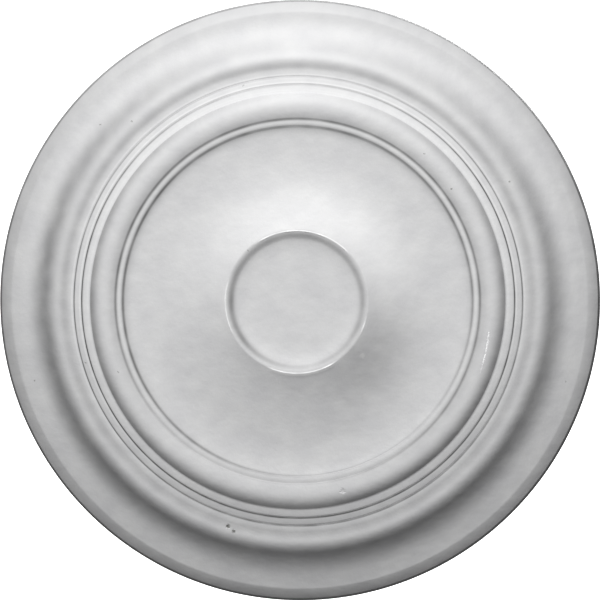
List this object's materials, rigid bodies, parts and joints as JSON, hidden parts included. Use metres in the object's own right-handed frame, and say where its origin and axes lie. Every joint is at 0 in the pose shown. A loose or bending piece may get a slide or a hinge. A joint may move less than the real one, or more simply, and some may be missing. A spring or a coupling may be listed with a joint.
{
  "type": "ceiling rose",
  "caption": "Round moulded ceiling rose with stepped outer rings, a bell-shaped field and a raised lip round a flat centre seat; flat back.",
  "frame": {"origin": "centre of the flat back, where the rose meets the ceiling", "axes": "upright, as the picture shows it: +Y points out of the flat back, along the axis that the rose is turned about, -Y points out of the moulded face, +Z is the picture's up and +X its right"},
  "size_m": [0.619, 0.0635, 0.619],
  "materials": {
    "primed_polyurethane": "white factory primer, satin, over a moulded polyurethane casting"
  },
  "bodies": {
    "root": {"ceiling_rose": "primed_polyurethane"}
  },
  "joints": []
}
